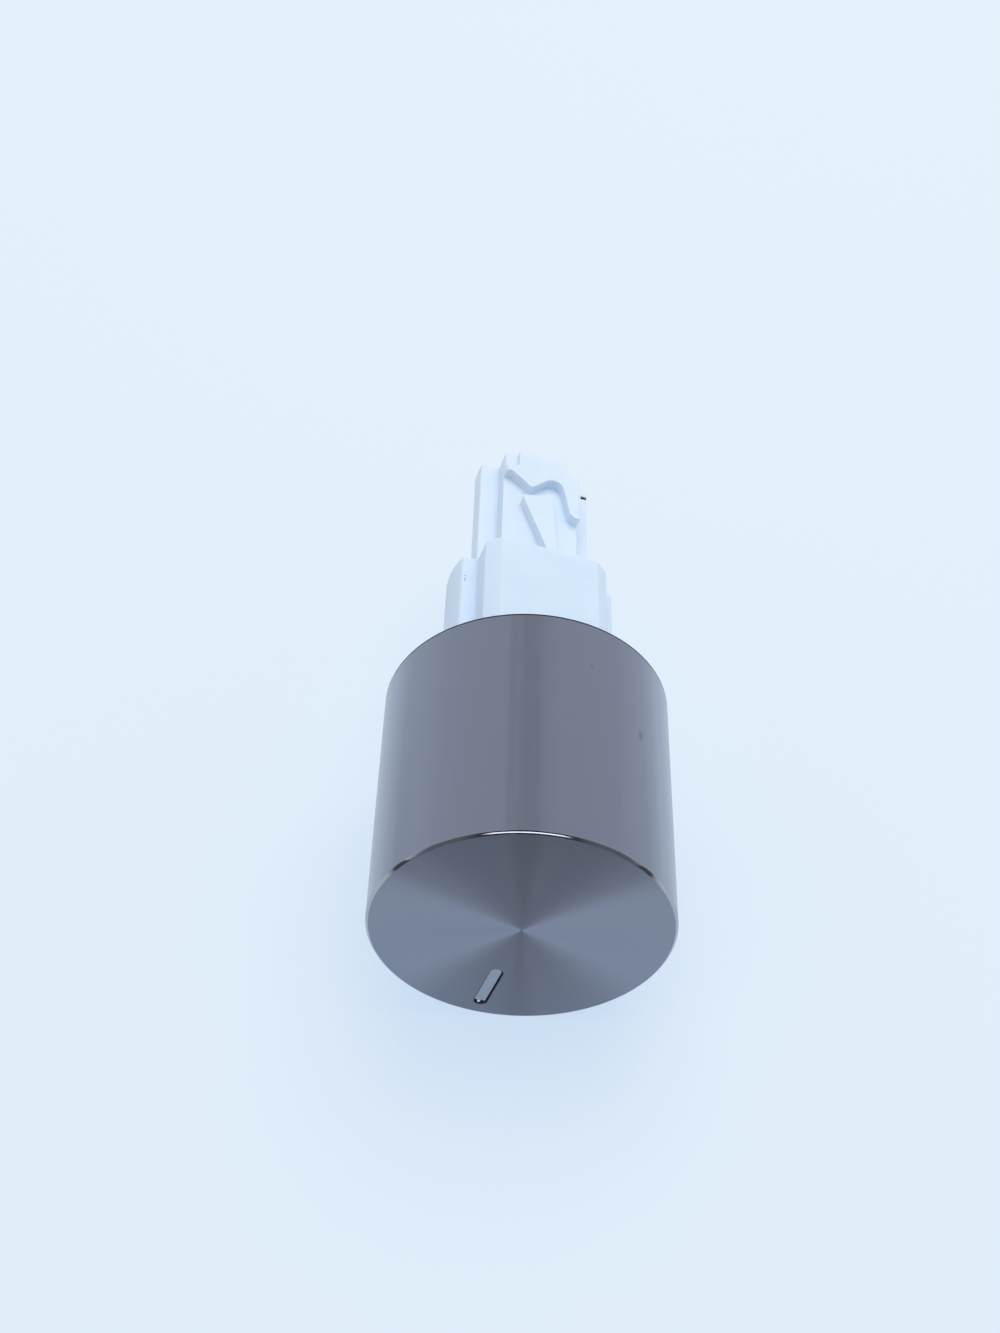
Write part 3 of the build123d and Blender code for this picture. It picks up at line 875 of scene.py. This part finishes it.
follower_outline = outline_curve(
    "follower_outline",
    (
        (on_follower(0, FOLLOWER_TOP), 0),
        (on_follower(0, FOLLOWER_LEVEL), FOLLOWER_BEND),
        (on_follower(FOLLOWER_ARM, FOLLOWER_LEVEL), FOLLOWER_BEND),
        (on_follower(FOLLOWER_ARM, FOLLOWER_FOOT), 0),
    ),
)
follower_mesh = run_tree(
    "follower_bent",
    bending,
    follower_outline,
    wire_radius=FOLLOWER_WIRE / 2 * MM,
    finish=steel("follower_steel", STEEL_COLOUR, FOLLOWER_OIL),
)
follower = link_new("follower_bent", follower_mesh)
shade(follower, CREASE)
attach(follower, "follower")
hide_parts("cam_follower")


# Return spring: a compression spring, coiled cold from music wire with its end coils closed.
# It stands on the insert's post and in the stem's pocket, and is built at one length, riding with the grip.
SPRING_WIRE = 0.9
SPRING_RADIUS = 3.25
SPRING_TURNS = 13.0
SPRING_STEPS = 620
CLOSED_PITCH = 0.95
SPRING_START_Y = -82.7
SPRING_END_Y = -34.3
SPRING_OIL = 0.4

coiling, given, result = start_group(
    "GeometryNodeTree",
    "coiled_spring",
    (
        ("Course", "Geometry", None),
        ("Turns", "Float", 10.0),
        ("Steps", "Int", 400),
        ("Coil radius", "Float", 0.003),
        ("Start", "Float", 0.0),
        ("Length", "Float", 0.05),
        ("Closed pitch", "Float", 0.001),
        ("Wire radius", "Float", 0.0005),
        ("Sides", "Int", 16),
        ("Finish", "Material", None),
    ),
    (("Piece", "Geometry"),),
)

# One closed turn at each end rises by the closed pitch, and the open turns share out the rest
resampling = {"Curve": given["Course"], "Count": given["Steps"]}
course = put(coiling, "GeometryNodeResampleCurve", resampling).outputs["Curve"]
last = maths(coiling, "SUBTRACT", given["Steps"], 1.0)
index = put(coiling, "GeometryNodeInputIndex").outputs[0]
turn = maths(coiling, "MULTIPLY", maths(coiling, "DIVIDE", index, last), given["Turns"])
open_turns = maths(coiling, "SUBTRACT", given["Turns"], 2.0)
open_length = maths(coiling, "MULTIPLY_ADD", given["Closed pitch"], -2.0, given["Length"])
into_open = maths(coiling, "MAXIMUM", maths(coiling, "SUBTRACT", turn, 1.0), 0.0)
into_open = maths(coiling, "MINIMUM", into_open, open_turns)
closed_turns = maths(coiling, "SUBTRACT", turn, into_open)
rise = maths(coiling, "MULTIPLY", maths(coiling, "DIVIDE", into_open, open_turns), open_length)
rise = maths(coiling, "MULTIPLY_ADD", closed_turns, given["Closed pitch"], rise)
angle = maths(coiling, "MULTIPLY", turn, 2 * pi)
on_coil = put(
    coiling,
    "ShaderNodeCombineXYZ",
    {
        "X": maths(coiling, "MULTIPLY", maths(coiling, "COSINE", angle), given["Coil radius"]),
        "Y": maths(coiling, "ADD", rise, given["Start"]),
        "Z": maths(coiling, "MULTIPLY", maths(coiling, "SINE", angle), given["Coil radius"]),
    },
).outputs[0]
course = put(coiling, "GeometryNodeSetPosition", {"Geometry": course, "Position": on_coil}).outputs[0]
finish_tree(coiling, sweep_wire(coiling, course, given), given["Finish"], result["Piece"])

spring_course = outline_curve("spring_course", ((Vector((0, 0, 0)), 1), (ALONG * MM, 1)))
spring_mesh = run_tree(
    "spring_coiled",
    coiling,
    spring_course,
    turns=SPRING_TURNS,
    steps=SPRING_STEPS,
    coil_radius=SPRING_RADIUS * MM,
    start=SPRING_START_Y * MM,
    length=(SPRING_END_Y - SPRING_START_Y) * MM,
    closed_pitch=CLOSED_PITCH * MM,
    wire_radius=SPRING_WIRE / 2 * MM,
    finish=steel("spring_steel", STEEL_COLOUR, SPRING_OIL),
)
spring = link_new("spring_coiled", spring_mesh)
shade(spring, CREASE)
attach(spring, "grip")
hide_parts("return_spring")
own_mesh(spring)


# Spindle clip: a strip of blackened spring steel, bowed inside the socket to grip the oven's spindle.
# It is sheared and bent, and hooks over the stem's arm.
CLIP_COLOUR = (0.03, 0.032, 0.04, 1)
CLIP_EDGE = 0.07
CLIP_OIL = 0.3
CLIP_LIP_FROM = (7.5, -0.9, 0.5)
CLIP_LIP_TOP = 1.72


def flared_lip(right, along, top):
    """The clip's hooked end widens upwards, and nearly fills its notch in the arm."""
    lip_right, lip_along, lip_top = CLIP_LIP_FROM
    on_lip = right > lip_right and along < lip_along and top > lip_top
    return right, along, CLIP_LIP_TOP if on_lip else top


clip = softened_copy("spindle_clip", "clip_bent", CLIP_EDGE, flared_lip)
clip.data.materials.append(steel("clip_steel", CLIP_COLOUR, CLIP_OIL))
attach(clip, "stem")
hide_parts("spindle_clip")

bpy.context.view_layer.update()
